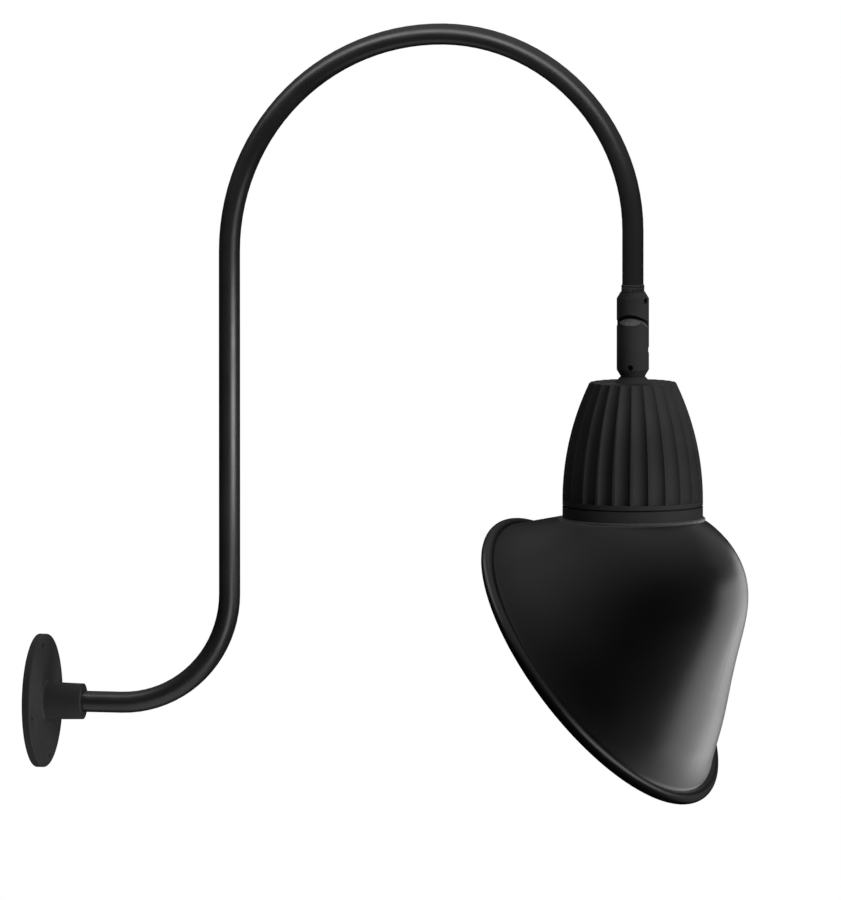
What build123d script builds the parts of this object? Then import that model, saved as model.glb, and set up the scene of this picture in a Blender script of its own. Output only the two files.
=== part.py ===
"""Gooseneck barn light: wall plate, bent pipe arm, swivel, fluted lamp head and tilted cone shade.

Millimetres. The origin is the centre of the wall plate's back face. +X points away from the wall,
+Z is up and the arm lies in the XZ plane.
"""

import os
from math import cos, radians, sin, sqrt, tan

from build123d import *

# Fits
seat_clearance = 0.05
running_clearance = 0.06
face_gap = 0.3

# Wall plate and its hub
plate_diameter = 134.0
plate_thickness = 8.0
plate_edge_round = 1.5
plate_recess_depth = 4.5
plate_land = 15.0
cable_hole_diameter = 14.0
wall_hole_diameter = 5.0
wall_hole_edge = 9.0
wall_hole_count = 4
wall_hole_twist = 13.0
hub_wall = 7.3
hub_length = 38.5
hub_taper = 1.5
hub_fillet = 2.5
spanner_hole_diameter = 2.4
spanner_hole_depth = 4.0
spanner_hole_spread = 116.0
plate_gasket_width = 8.0

# Pipe of the arm and of the neck
pipe_diameter = 21.3
pipe_wall = 2.8

# Arm path: a short run out of the hub, an elbow, a post, a rising and a falling quarter arch, a leg
post_reach = 198.0
elbow_radius = 112.0
arch_height = 678.0
rise_radius = 222.0
fall_radius = 193.5
leg_length = 79.5

# Lock ring on the end of the arm
lock_ring_width = 1.2
lock_ring_height = 6.8

# Set screws and the ground screw
set_screw_diameter = 5.8
set_screw_key = 2.8
set_screw_recess = 2.4
hub_screw_inset = 12.0
hub_screw_angles = (-30.0, -75.0)
ground_screw_diameter = 4.0
ground_head_diameter = 7.5
ground_head_height = 2.2
ground_boss_diameter = 10.0
ground_boss_height = 1.2
ground_screw_place = (-24.0, -24.0)

# Swivel: two half-lapped knuckles on one pivot screw
knuckle_diameter = 32.3
knuckle_nose_diameter = 24.5
knuckle_nose_height = 6.5
lap_radius = 18.5
lap_bevel_height = 6.7
lap_bevel_depth = 4.6
shoulder_gap = 4.0
socket_web = 3.4
arm_engagement = 18.7
neck_engagement = 13.8
pivot_diameter = 8.0
pivot_head_diameter = 13.0
pivot_head_height = 5.2
pivot_key = 5.0
pivot_skin = 4.5
pivot_washer_diameter = 26.0
pivot_washer_thickness = 1.0
arm_screw_turn = 67.0
arm_screw_drop = 8.5
neck_screw_turn = 4.0
neck_screw_rise = 9.1

# Lamp head: how far it is turned on its neck, then the fluted heat sink
head_turn = 10.0
neck_height = 6.2
neck_base_diameter = 36.0
sink_height = 122.5
sink_top_diameter = 87.0
sink_base_diameter = 140.4
flange_thickness = 4.5
flute_count = 24
flute_radius = 9.0
ridge_width_base = 2.6
ridge_width_top = 2.0
crown_bevel = 0.7
sink_roof = 22.0
cavity_narrowing = 16.0
nipple_seat_depth = 14.0

# Lamp board on its carrier plate, and the driver above it
carrier_diameter = 108.0
carrier_thickness = 5.0
carrier_screw_inset = 7.2
carrier_seat_width = 2.5
carrier_boss_diameter = 12.0
carrier_boss_height = 7.0
carrier_wire_hole = 5.0
carrier_wire_margin = 1.0
board_diameter = 76.0
board_thickness = 1.6
pad_thickness = 0.5
board_screw_inset = 5.0
chip_size = 5.0
chip_height = 1.0
inner_chip_circle = 9.0
inner_chip_count = 6
outer_chip_circle = 22.0
outer_chip_count = 12
driver_length = 52.0
driver_width = 34.0
driver_height = 58.0
driver_corner = 3.0
driver_ear = 9.0
driver_ear_thickness = 2.5
small_screw_diameter = 3.0
small_head_diameter = 5.6
small_head_height = 1.8
small_screw_bite = 3.5

# Collar, lens and their seals
sink_gasket_thickness = 1.6
sink_gasket_inset = 3.0
sink_gasket_width = 10.6
collar_height = 10.9
collar_ledge = 3.0
collar_ledge_width = 4.5
collar_wall = 15.2
lens_thickness = 4.0
lens_gasket_thickness = 1.0
snap_ring_thickness = 2.5
clamp_screw_diameter = 4.0
clamp_head_diameter = 7.0
clamp_head_height = 3.0
clamp_screw_inset = 7.6
clamp_screw_count = 4

# Shade: a spun sheet that runs from a level neck to a tilted round mouth
sheet = 1.5
shade_neck_diameter = 142.4
shade_neck_drop = 3.0
shade_lip_radius = 2.1
shade_flange_width = 15.5
mouth_radius = 166.5
mouth_tilt = 36.6
mouth_reach = 36.4
mouth_drop = 146.3
flank_lean = 16.1
flank_length = 183.0
bead_radius = 5.0
shade_stations = 6
clamp_ring_thickness = 3.0
clamp_ring_width = 11.0

# Levels and radii that follow from the sizes above
pipe_radius = pipe_diameter / 2
pipe_bore_radius = pipe_radius - pipe_wall
plate_radius = plate_diameter / 2
wall_hole_circle = plate_radius - wall_hole_edge
plate_recess_radius = plate_radius - plate_land
hub_end = plate_thickness + hub_length
hub_end_radius = pipe_radius + seat_clearance + hub_wall
hub_base_radius = hub_end_radius + hub_length * tan(radians(hub_taper))
arm_start = plate_thickness
reach = post_reach + rise_radius + fall_radius
leg_end = arch_height - fall_radius - leg_length

knuckle_radius = knuckle_diameter / 2
nose_radius = knuckle_nose_diameter / 2
shoulder_radius = lap_radius + shoulder_gap
lap_gap = pivot_washer_thickness + face_gap
pivot_z = leg_end - socket_web - shoulder_radius
knuckle_top = leg_end + arm_engagement
neck_end = pivot_z - shoulder_radius - socket_web
knuckle_bottom = neck_end - neck_engagement

neck_top = knuckle_bottom - face_gap
sink_top = neck_top - neck_height
flange_bottom = sink_top - sink_height
flange_top = flange_bottom + flange_thickness
sink_base_radius = sink_base_diameter / 2
sink_top_radius = sink_top_diameter / 2
carrier_radius = carrier_diameter / 2
carrier_top = flange_bottom + carrier_thickness
carrier_screw_circle = carrier_radius - carrier_screw_inset
cavity_base_radius = carrier_radius - carrier_seat_width
cavity_roof = sink_top - sink_roof
pad_bottom = flange_bottom - pad_thickness
board_bottom = pad_bottom - board_thickness
chip_bottom = board_bottom - chip_height
board_screw_circle = board_diameter / 2 - board_screw_inset
carrier_wire_place = board_diameter / 2 + carrier_wire_margin + carrier_wire_hole / 2
collar_top = flange_bottom - sink_gasket_thickness
collar_bottom = collar_top - collar_height
collar_bore_radius = sink_base_radius - collar_wall
ledge_top = collar_bottom + collar_ledge
ledge_radius = collar_bore_radius - collar_ledge_width
lens_bottom = ledge_top + lens_gasket_thickness
lens_top = lens_bottom + lens_thickness
lens_radius = collar_bore_radius - face_gap
clamp_circle = sink_base_radius - clamp_screw_inset
shade_neck_radius = shade_neck_diameter / 2
shade_flange_bottom = collar_bottom - sheet
clamp_ring_bottom = shade_flange_bottom - clamp_ring_thickness
clamp_ring_outer = clamp_circle + clamp_ring_width / 2

# Frames: the leg of the arm, and the lamp head with its local X towards the mouth of the shade
leg = Plane(origin=(reach, 0, 0))
leg_section = Plane(origin=(reach, 0, 0), x_dir=(1, 0, 0), z_dir=(0, -1, 0))
head_heading = (-cos(radians(head_turn)), sin(radians(head_turn)), 0)
head = Plane(origin=(reach, 0, 0), x_dir=head_heading, z_dir=(0, 0, 1))
head_section = Plane(origin=head.origin, x_dir=head.x_dir, z_dir=-head.y_dir)
head_axis = Axis(head.origin, (0, 0, 1))
pivot_axis = Axis((reach, 0, pivot_z), (0, 1, 0))

os.makedirs("parts", exist_ok=True)


def turned_about(centre, heading, level):
    """Plane at a height on a vertical axis, facing out along a heading counted from -Y towards +X."""
    return Plane(
        origin=(centre, 0, level),
        x_dir=(0, 0, 1),
        z_dir=(sin(radians(heading)), -cos(radians(heading)), 0),
    )


def around_hub(angle):
    """Plane on the hub's axis at its set screws, facing out at an angle counted from +Y towards +Z."""
    return Plane(
        origin=(hub_end - hub_screw_inset, 0, 0),
        x_dir=(1, 0, 0),
        z_dir=(0, cos(radians(angle)), sin(radians(angle))),
    )


def make_set_screw(length):
    """Cup-point set screw standing on the XY plane, with a hexagon socket in its top."""
    with BuildPart() as set_screw:
        Cylinder(set_screw_diameter / 2, length, align=(Align.CENTER, Align.CENTER, Align.MIN))
        chamfer(set_screw.edges().group_by(Axis.Z)[0], set_screw_diameter / 8)
        with BuildSketch(Plane.XY.offset(length)):
            RegularPolygon(set_screw_key / 2, 6, major_radius=False)
        extrude(amount=-length / 2, mode=Mode.SUBTRACT)
    return set_screw.part


def make_screw(head_diameter, head_height, shank_diameter, length):
    """Cap screw pointing up from its head, with the underside of the head on the XY plane."""
    with BuildPart() as screw:
        Cylinder(head_diameter / 2, head_height, align=(Align.CENTER, Align.CENTER, Align.MAX))
        chamfer(screw.edges().group_by(Axis.Z)[0], head_height / 4)
        Cylinder(shank_diameter / 2, length, align=(Align.CENTER, Align.CENTER, Align.MIN))
        with BuildSketch(Plane.XY.offset(-head_height)):
            RegularPolygon(head_diameter / 4, 6, major_radius=False)
        extrude(amount=head_height / 2, mode=Mode.SUBTRACT)
    return screw.part


# Wall plate: a round casting with a hollow back, four wall holes and a tapered hub for the arm
with BuildPart() as wall_plate:
    with BuildSketch(Plane.YZ):
        Circle(plate_radius)
    extrude(amount=plate_thickness)
    fillet(wall_plate.faces().sort_by(Axis.X)[-1].edges(), plate_edge_round)
    with BuildSketch(Plane.YZ.offset(plate_thickness)):
        Circle(hub_base_radius)
    extrude(amount=hub_length, taper=hub_taper)
    hub_foot = wall_plate.edges().filter_by(GeomType.CIRCLE).filter_by(
        lambda edge: abs(edge.arc_center.X - plate_thickness) < hub_fillet / 10
        and abs(edge.radius - hub_base_radius) < hub_fillet / 10
    )
    fillet(hub_foot, hub_fillet)
    with BuildSketch(Plane.YZ):
        Circle(plate_recess_radius)
    extrude(amount=plate_recess_depth, mode=Mode.SUBTRACT)
    with BuildSketch(Plane.YZ.offset(plate_recess_depth)):
        with Locations(ground_screw_place):
            Circle(ground_boss_diameter / 2)
    extrude(amount=-ground_boss_height)
    with BuildSketch(Plane.YZ):
        with Locations(ground_screw_place):
            Circle(ground_screw_diameter / 2 + seat_clearance)
    extrude(amount=plate_thickness - plate_edge_round, mode=Mode.SUBTRACT)
    with BuildSketch(Plane.YZ):
        with PolarLocations(wall_hole_circle, wall_hole_count, start_angle=wall_hole_twist):
            Circle(wall_hole_diameter / 2)
    extrude(amount=plate_thickness, mode=Mode.SUBTRACT)
    with BuildSketch(Plane.YZ):
        Circle(cable_hole_diameter / 2)
    extrude(amount=hub_end, mode=Mode.SUBTRACT)
    with BuildSketch(Plane.YZ.offset(arm_start)):
        Circle(pipe_radius + seat_clearance)
    extrude(amount=hub_length, mode=Mode.SUBTRACT)
    with BuildSketch(Plane.YZ.offset(hub_end)):
        with PolarLocations(
            hub_end_radius - hub_wall / 2,
            2,
            start_angle=180 - spanner_hole_spread / 2,
            angular_range=spanner_hole_spread,
            endpoint=True,
        ):
            Circle(spanner_hole_diameter / 2)
    extrude(amount=-spanner_hole_depth, mode=Mode.SUBTRACT)
    for angle in hub_screw_angles:
        with BuildSketch(around_hub(angle)):
            Circle(set_screw_diameter / 2 + seat_clearance)
        extrude(amount=hub_base_radius, mode=Mode.SUBTRACT)
wall_plate.part.label = "wall_plate"
export_step(wall_plate.part, "parts/wall_plate.step")

# Foam ring that seals the plate against the wall, flush with its back
with BuildPart() as plate_gasket:
    with BuildSketch(Plane.YZ):
        Circle(plate_recess_radius - seat_clearance)
        Circle(plate_recess_radius - plate_gasket_width, mode=Mode.SUBTRACT)
    extrude(amount=plate_recess_depth)
plate_gasket.part.label = "plate_gasket"
export_step(plate_gasket.part, "parts/plate_gasket.step")

# Two screws that lock the arm in the hub, on the side turned away from the front
hub_screw_length = hub_wall - set_screw_recess
hub_screw = make_set_screw(hub_screw_length)
with BuildPart() as hub_set_screws:
    for angle in hub_screw_angles:
        with Locations(around_hub(angle).offset(pipe_radius + seat_clearance)):
            add(hub_screw)
hub_set_screws.part.label = "hub_set_screws"
export_step(hub_set_screws.part, "parts/hub_set_screws.step")

# Earth screw on its boss behind the plate
ground_seat = plate_recess_depth - ground_boss_height
ground_bite = plate_thickness - plate_edge_round - ground_seat - face_gap
with BuildPart() as ground_screw:
    with Locations(Plane.YZ.offset(ground_seat)):
        with Locations(ground_screw_place):
            add(make_screw(ground_head_diameter, ground_head_height, ground_screw_diameter, ground_bite))
ground_screw.part.label = "ground_screw"
export_step(ground_screw.part, "parts/ground_screw.step")

# Gooseneck arm: one bent pipe from the hub to the swivel
with BuildPart() as gooseneck_arm:
    with BuildLine(Plane.XZ) as arm_path:
        out_run = Line((arm_start, 0), (post_reach - elbow_radius, 0))
        elbow = JernArc(out_run @ 1, out_run % 1, elbow_radius, 90)
        post = Line(elbow @ 1, (post_reach, arch_height - rise_radius))
        rise = JernArc(post @ 1, post % 1, rise_radius, -90)
        fall = JernArc(rise @ 1, rise % 1, fall_radius, -90)
        Line(fall @ 1, (reach, leg_end))
    with BuildSketch(Plane.YZ.offset(arm_start)):
        Circle(pipe_radius)
        Circle(pipe_bore_radius, mode=Mode.SUBTRACT)
    sweep(path=arm_path.wires()[0])
gooseneck_arm.part.label = "gooseneck_arm"
export_step(gooseneck_arm.part, "parts/gooseneck_arm.step")

# Lock ring that jams the swivel's thread on the end of the arm
with BuildPart() as lock_ring:
    with BuildSketch(leg.offset(knuckle_top + face_gap)):
        Circle(pipe_radius + lock_ring_width)
        Circle(pipe_radius + seat_clearance, mode=Mode.SUBTRACT)
    extrude(amount=lock_ring_height)
    chamfer(lock_ring.faces().sort_by(Axis.Z)[-1].outer_wire().edges(), lock_ring_width / 3)
lock_ring.part.label = "lock_ring"
export_step(lock_ring.part, "parts/lock_ring.step")

# Half laps: the upper knuckle keeps the back half at the pivot, the lower one the front half
front_lap = Plane(origin=(reach, lap_gap / 2, pivot_z), x_dir=(1, 0, 0), z_dir=(0, -1, 0))
back_lap = Plane(origin=(reach, -lap_gap / 2, pivot_z), x_dir=(1, 0, 0), z_dir=(0, -1, 0))
pivot_plane = Plane(origin=(reach, 0, pivot_z), x_dir=(1, 0, 0), z_dir=(0, -1, 0))
bevel_plane = Plane(origin=(reach, 0, pivot_z), x_dir=(1, 0, 0), z_dir=(0, 0, 1))
lap_depth = knuckle_radius + lap_gap
pivot_head_seat = sqrt(knuckle_radius**2 - (pivot_head_diameter / 2) ** 2) - pivot_head_height
pivot_tip = knuckle_radius - pivot_skin

# Upper knuckle, turned on the end of the arm
with BuildPart() as swivel_top:
    with BuildSketch(leg_section):
        with BuildLine():
            Polyline(
                (0, pivot_z - lap_radius),
                (knuckle_radius, pivot_z - lap_radius),
                (knuckle_radius, knuckle_top - knuckle_nose_height),
                (nose_radius, knuckle_top),
                (0, knuckle_top),
                close=True,
            )
        make_face()
    revolve(axis=head_axis)
    with BuildSketch(front_lap):
        Circle(shoulder_radius)
        Rectangle(2 * shoulder_radius, 2 * shoulder_radius, align=(Align.CENTER, Align.MAX))
    extrude(amount=lap_depth, mode=Mode.SUBTRACT)
    with BuildSketch(pivot_plane):
        Rectangle(2 * shoulder_radius, 2 * lap_radius, align=(Align.CENTER, Align.MAX))
        Circle(lap_radius, mode=Mode.SUBTRACT)
    extrude(amount=lap_depth, both=True, mode=Mode.SUBTRACT)
    with BuildSketch(bevel_plane):
        with BuildLine():
            Polyline(
                (lap_radius, knuckle_radius - lap_bevel_depth),
                (lap_radius - lap_bevel_height, knuckle_radius),
                (lap_radius + shoulder_gap, knuckle_radius),
                (lap_radius + shoulder_gap, knuckle_radius - lap_bevel_depth),
                close=True,
            )
        make_face()
    revolve(axis=pivot_axis, revolution_arc=180, mode=Mode.SUBTRACT)
    with BuildSketch(pivot_plane):
        Circle(pivot_diameter / 2 + running_clearance)
    extrude(amount=-lap_depth, mode=Mode.SUBTRACT)
    with BuildSketch(pivot_plane.offset(-pivot_head_seat + face_gap)):
        Circle(pivot_head_diameter / 2 + face_gap)
    extrude(amount=-lap_depth, mode=Mode.SUBTRACT)
    with BuildSketch(leg.offset(knuckle_top)):
        Circle(pipe_radius + running_clearance)
    extrude(amount=-arm_engagement - face_gap, mode=Mode.SUBTRACT)
    with BuildSketch(turned_about(reach, arm_screw_turn, knuckle_top - arm_screw_drop)):
        Circle(set_screw_diameter / 2 + seat_clearance)
    extrude(amount=knuckle_diameter, mode=Mode.SUBTRACT)
swivel_top.part.label = "swivel_top"
export_step(swivel_top.part, "parts/swivel_top.step")

# Lower knuckle, which carries the neck of the lamp head
with BuildPart() as swivel_bottom:
    with BuildSketch(leg_section):
        with BuildLine():
            Polyline(
                (0, knuckle_bottom),
                (nose_radius, knuckle_bottom),
                (knuckle_radius, knuckle_bottom + knuckle_nose_height),
                (knuckle_radius, pivot_z + lap_radius),
                (0, pivot_z + lap_radius),
                close=True,
            )
        make_face()
    revolve(axis=head_axis)
    with BuildSketch(back_lap):
        Circle(shoulder_radius)
        Rectangle(2 * shoulder_radius, 2 * shoulder_radius, align=(Align.CENTER, Align.MIN))
    extrude(amount=-lap_depth, mode=Mode.SUBTRACT)
    with BuildSketch(pivot_plane):
        Rectangle(2 * shoulder_radius, 2 * lap_radius, align=(Align.CENTER, Align.MIN))
        Circle(lap_radius, mode=Mode.SUBTRACT)
    extrude(amount=lap_depth, both=True, mode=Mode.SUBTRACT)
    with BuildSketch(bevel_plane):
        with BuildLine():
            Polyline(
                (lap_radius, lap_bevel_depth - knuckle_radius),
                (lap_radius - lap_bevel_height, -knuckle_radius),
                (lap_radius + shoulder_gap, -knuckle_radius),
                (lap_radius + shoulder_gap, lap_bevel_depth - knuckle_radius),
                close=True,
            )
        make_face()
    revolve(axis=pivot_axis, revolution_arc=-180, mode=Mode.SUBTRACT)
    with BuildSketch(pivot_plane):
        Circle(pivot_diameter / 2 + seat_clearance)
    extrude(amount=pivot_tip, mode=Mode.SUBTRACT)
    with BuildSketch(leg.offset(knuckle_bottom)):
        Circle(pipe_radius + running_clearance)
    extrude(amount=neck_engagement + face_gap, mode=Mode.SUBTRACT)
    with BuildSketch(turned_about(reach, neck_screw_turn, knuckle_bottom + neck_screw_rise)):
        Circle(set_screw_diameter / 2 + seat_clearance)
    extrude(amount=knuckle_diameter, mode=Mode.SUBTRACT)
swivel_bottom.part.label = "swivel_bottom"
export_step(swivel_bottom.part, "parts/swivel_bottom.step")

# Pivot screw, put in from the back and threaded into the front lap
with BuildPart() as pivot_screw:
    with BuildSketch(pivot_plane.offset(-pivot_head_seat)):
        Circle(pivot_head_diameter / 2)
    extrude(amount=-pivot_head_height)
    with BuildSketch(pivot_plane.offset(-pivot_head_seat)):
        Circle(pivot_diameter / 2)
    extrude(amount=pivot_head_seat + pivot_tip - face_gap)
    with BuildSketch(pivot_plane.offset(-pivot_head_seat - pivot_head_height)):
        RegularPolygon(pivot_key / 2, 6, major_radius=False)
    extrude(amount=pivot_head_height / 2, mode=Mode.SUBTRACT)
pivot_screw.part.label = "pivot_screw"
export_step(pivot_screw.part, "parts/pivot_screw.step")

# Friction washer between the laps
with BuildPart() as pivot_washer:
    with BuildSketch(back_lap):
        Circle(pivot_washer_diameter / 2)
        Circle(pivot_diameter / 2 + seat_clearance, mode=Mode.SUBTRACT)
    extrude(amount=-pivot_washer_thickness)
pivot_washer.part.label = "pivot_washer"
export_step(pivot_washer.part, "parts/pivot_washer.step")

# Set screws that lock the swivel on the arm and on the neck
swivel_screw_foot = pipe_radius + running_clearance + face_gap
swivel_screw = make_set_screw(knuckle_radius - set_screw_recess - swivel_screw_foot)
arm_screw_seat = turned_about(reach, arm_screw_turn, knuckle_top - arm_screw_drop)
with BuildPart() as arm_set_screw:
    with Locations(arm_screw_seat.offset(swivel_screw_foot)):
        add(swivel_screw)
arm_set_screw.part.label = "arm_set_screw"
export_step(arm_set_screw.part, "parts/arm_set_screw.step")

neck_screw_seat = turned_about(reach, neck_screw_turn, knuckle_bottom + neck_screw_rise)
with BuildPart() as neck_set_screw:
    with Locations(neck_screw_seat.offset(swivel_screw_foot)):
        add(swivel_screw)
neck_set_screw.part.label = "neck_set_screw"
export_step(neck_set_screw.part, "parts/neck_set_screw.step")

# Pipe nipple that joins the heat sink to the swivel
nipple_foot = sink_top - nipple_seat_depth
with BuildPart() as neck_nipple:
    with BuildSketch(leg.offset(nipple_foot)):
        Circle(pipe_radius)
        Circle(pipe_bore_radius, mode=Mode.SUBTRACT)
    extrude(amount=neck_end - nipple_foot)
neck_nipple.part.label = "neck_nipple"
export_step(neck_nipple.part, "parts/neck_nipple.step")


def flute_centre(radius, ridge_width):
    """Distance of a flute's centre from the axis where the ridges between the flutes have a given width."""
    half_width = radius * sin(radians(180 / flute_count)) - ridge_width / 2
    return sqrt(radius**2 - half_width**2) + sqrt(flute_radius**2 - half_width**2)


# One flute of the heat sink, a round cutter that follows the barrel and runs out through its crown
flute_base = flute_centre(sink_base_radius, ridge_width_base)
flute_top = flute_centre(sink_top_radius, ridge_width_top)
with BuildLine() as flute_line:
    flute_arc = TangentArc((flute_base, flange_top), (flute_top, sink_top), tangent=(0, 1))
    Line(flute_arc @ 1, flute_arc @ 1 + (flute_arc % 1) * flute_radius)
with BuildPart() as flute:
    with BuildSketch(Plane(origin=(flute_base, 0, flange_top))):
        Circle(flute_radius)
    sweep(path=Plane.XZ.from_local_coords(flute_line.wires()[0]))

# Heat sink: a fluted barrel with a neck and a base flange, hollow for the driver
with BuildPart() as heat_sink:
    with BuildSketch(head_section):
        with BuildLine():
            barrel = TangentArc(
                (sink_base_radius, flange_top), (sink_top_radius, sink_top - crown_bevel), tangent=(0, 1)
            )
            Polyline(
                barrel @ 1,
                (sink_top_radius - crown_bevel, sink_top),
                (neck_base_diameter / 2, sink_top),
                (nose_radius, neck_top),
                (0, neck_top),
                (0, flange_bottom),
                (sink_base_radius, flange_bottom),
                barrel @ 0,
            )
        make_face()
    revolve(axis=head_axis)
    with BuildSketch(head_section):
        with BuildLine():
            Polyline(
                (0, carrier_top),
                (cavity_base_radius, carrier_top),
                (cavity_base_radius - cavity_narrowing, cavity_roof),
                (0, cavity_roof),
                close=True,
            )
        make_face()
    revolve(axis=head_axis, mode=Mode.SUBTRACT)
    with BuildSketch(head.offset(carrier_top)):
        with PolarLocations(carrier_screw_circle, 4, start_angle=45):
            Circle(carrier_boss_diameter / 2)
    extrude(amount=carrier_boss_height)
    with BuildSketch(head.offset(flange_bottom)):
        Circle(carrier_radius + seat_clearance)
    extrude(amount=carrier_thickness, mode=Mode.SUBTRACT)
    with Locations(head):
        with PolarLocations(0, flute_count):
            add(flute.part, mode=Mode.SUBTRACT)
    with BuildSketch(head.offset(cavity_roof)):
        Circle(pipe_bore_radius)
    extrude(amount=neck_top - cavity_roof, mode=Mode.SUBTRACT)
    with BuildSketch(head.offset(nipple_foot)):
        Circle(pipe_radius + seat_clearance)
    extrude(amount=neck_top - nipple_foot, mode=Mode.SUBTRACT)
    with BuildSketch(head.offset(carrier_top)):
        with PolarLocations(carrier_screw_circle, 4, start_angle=45):
            Circle(small_screw_diameter / 2 + seat_clearance)
    extrude(amount=small_screw_bite + face_gap, mode=Mode.SUBTRACT)
    with BuildSketch(head.offset(flange_bottom)):
        with PolarLocations(clamp_circle, clamp_screw_count, start_angle=45):
            Circle(clamp_screw_diameter / 2 + seat_clearance)
    extrude(amount=flange_thickness, mode=Mode.SUBTRACT)
heat_sink.part.label = "heat_sink"
export_step(heat_sink.part, "parts/heat_sink.step")

# Carrier plate that closes the heat sink and takes the heat of the lamp board
driver_ear_place = driver_length / 2 + driver_ear / 2
with BuildPart() as carrier_plate:
    with BuildSketch(head.offset(flange_bottom)):
        Circle(carrier_radius)
        with PolarLocations(carrier_screw_circle, 4, start_angle=45):
            Circle(small_screw_diameter / 2 + seat_clearance, mode=Mode.SUBTRACT)
        with Locations((0, carrier_wire_place)):
            Circle(carrier_wire_hole / 2, mode=Mode.SUBTRACT)
    extrude(amount=carrier_thickness)
    with BuildSketch(head.offset(pad_bottom)):
        with PolarLocations(board_screw_circle, 4, start_angle=45):
            Circle(small_screw_diameter / 2 + seat_clearance)
    extrude(amount=pad_thickness + small_screw_bite + face_gap, mode=Mode.SUBTRACT)
    with BuildSketch(head.offset(carrier_top)):
        with Locations((driver_ear_place, 0), (-driver_ear_place, 0)):
            Circle(small_screw_diameter / 2 + seat_clearance)
    extrude(amount=-small_screw_bite - face_gap, mode=Mode.SUBTRACT)
carrier_plate.part.label = "carrier_plate"
export_step(carrier_plate.part, "parts/carrier_plate.step")

# Screws of the carrier plate
with BuildPart() as carrier_screws:
    with Locations(head.offset(flange_bottom)):
        with PolarLocations(carrier_screw_circle, 4, start_angle=45):
            add(
                make_screw(
                    small_head_diameter,
                    small_head_height,
                    small_screw_diameter,
                    carrier_thickness + small_screw_bite,
                )
            )
carrier_screws.part.label = "carrier_screws"
export_step(carrier_screws.part, "parts/carrier_screws.step")

# Driver, the sealed power supply that stands on the carrier plate by two ears
with BuildPart() as driver:
    with BuildSketch(head.offset(carrier_top)):
        RectangleRounded(driver_length, driver_width, driver_corner)
    extrude(amount=driver_height)
    fillet(driver.faces().sort_by(Axis.Z)[-1].edges(), driver_corner / 2)
    with BuildSketch(head.offset(carrier_top)):
        with Locations((driver_ear_place, 0), (-driver_ear_place, 0)):
            Rectangle(driver_ear, driver_width / 2)
    extrude(amount=driver_ear_thickness)
    with BuildSketch(head.offset(carrier_top)):
        with Locations((driver_ear_place, 0), (-driver_ear_place, 0)):
            Circle(small_screw_diameter / 2 + seat_clearance)
    extrude(amount=driver_ear_thickness, mode=Mode.SUBTRACT)
driver.part.label = "driver"
export_step(driver.part, "parts/driver.step")

# Screws of the driver, put in from above
driver_screw_seat = Plane(origin=head.origin, x_dir=head.x_dir, z_dir=-head.z_dir)
with BuildPart() as driver_screws:
    with Locations(driver_screw_seat.offset(-carrier_top - driver_ear_thickness)):
        with Locations((driver_ear_place, 0), (-driver_ear_place, 0)):
            add(
                make_screw(
                    small_head_diameter,
                    small_head_height,
                    small_screw_diameter,
                    driver_ear_thickness + small_screw_bite,
                )
            )
driver_screws.part.label = "driver_screws"
export_step(driver_screws.part, "parts/driver_screws.step")

# Thermal pad, lamp board, light chips and their screws, under the carrier plate
with BuildPart() as thermal_pad:
    with BuildSketch(head.offset(pad_bottom)):
        Circle(board_diameter / 2)
        with PolarLocations(board_screw_circle, 4, start_angle=45):
            Circle(small_screw_diameter / 2 + seat_clearance, mode=Mode.SUBTRACT)
    extrude(amount=pad_thickness)
thermal_pad.part.label = "thermal_pad"
export_step(thermal_pad.part, "parts/thermal_pad.step")

with BuildPart() as lamp_board:
    with BuildSketch(head.offset(board_bottom)):
        Circle(board_diameter / 2)
        with PolarLocations(board_screw_circle, 4, start_angle=45):
            Circle(small_screw_diameter / 2 + seat_clearance, mode=Mode.SUBTRACT)
    extrude(amount=board_thickness)
lamp_board.part.label = "lamp_board"
export_step(lamp_board.part, "parts/lamp_board.step")

with BuildPart() as light_chips:
    with BuildSketch(head.offset(chip_bottom)):
        with PolarLocations(inner_chip_circle, inner_chip_count):
            Rectangle(chip_size, chip_size)
        with PolarLocations(outer_chip_circle, outer_chip_count):
            Rectangle(chip_size, chip_size)
    extrude(amount=chip_height)
light_chips.part.label = "light_chips"
export_step(light_chips.part, "parts/light_chips.step")

with BuildPart() as board_screws:
    with Locations(head.offset(board_bottom)):
        with PolarLocations(board_screw_circle, 4, start_angle=45):
            add(
                make_screw(
                    small_head_diameter,
                    small_head_height,
                    small_screw_diameter,
                    board_thickness + pad_thickness + small_screw_bite,
                )
            )
board_screws.part.label = "board_screws"
export_step(board_screws.part, "parts/board_screws.step")

# Seal between the heat sink and the collar, set back so that it leaves a dark line
sink_gasket_radius = sink_base_radius - sink_gasket_inset
with BuildPart() as sink_gasket:
    with BuildSketch(head.offset(collar_top)):
        Circle(sink_gasket_radius)
        Circle(sink_gasket_radius - sink_gasket_width, mode=Mode.SUBTRACT)
        with PolarLocations(clamp_circle, clamp_screw_count, start_angle=45):
            Circle(clamp_screw_diameter / 2 + face_gap, mode=Mode.SUBTRACT)
    extrude(amount=sink_gasket_thickness)
sink_gasket.part.label = "sink_gasket"
export_step(sink_gasket.part, "parts/sink_gasket.step")

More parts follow.
